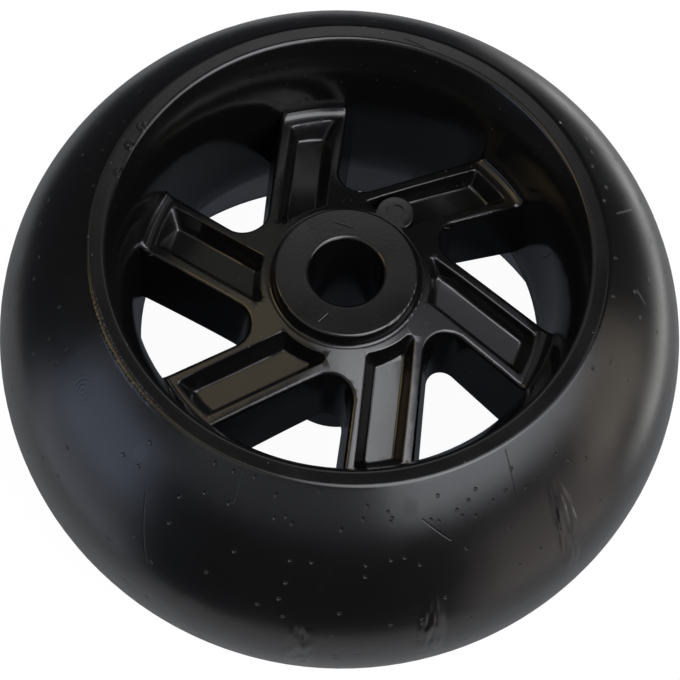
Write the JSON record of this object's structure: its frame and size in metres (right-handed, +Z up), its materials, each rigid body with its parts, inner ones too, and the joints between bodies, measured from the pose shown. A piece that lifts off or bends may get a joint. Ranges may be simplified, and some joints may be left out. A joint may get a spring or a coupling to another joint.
{
  "type": "mower deck wheel",
  "caption": "Solid black plastic mower deck wheel with a bulging tread, sloping pinwheel spokes and a plain hub bore.",
  "frame": {"origin": "on the axle line, at the lower edge of the rim that the wheel lies on", "axes": "+Z up along the axle line, towards the recessed face with the pockets; +Y along the spoke numbered first"},
  "size_m": [0.127, 0.127, 0.065],
  "materials": {
    "black_plastic": "satin black moulded plastic"
  },
  "bodies": {
    "root": {"wheel": "black_plastic"}
  },
  "joints": []
}
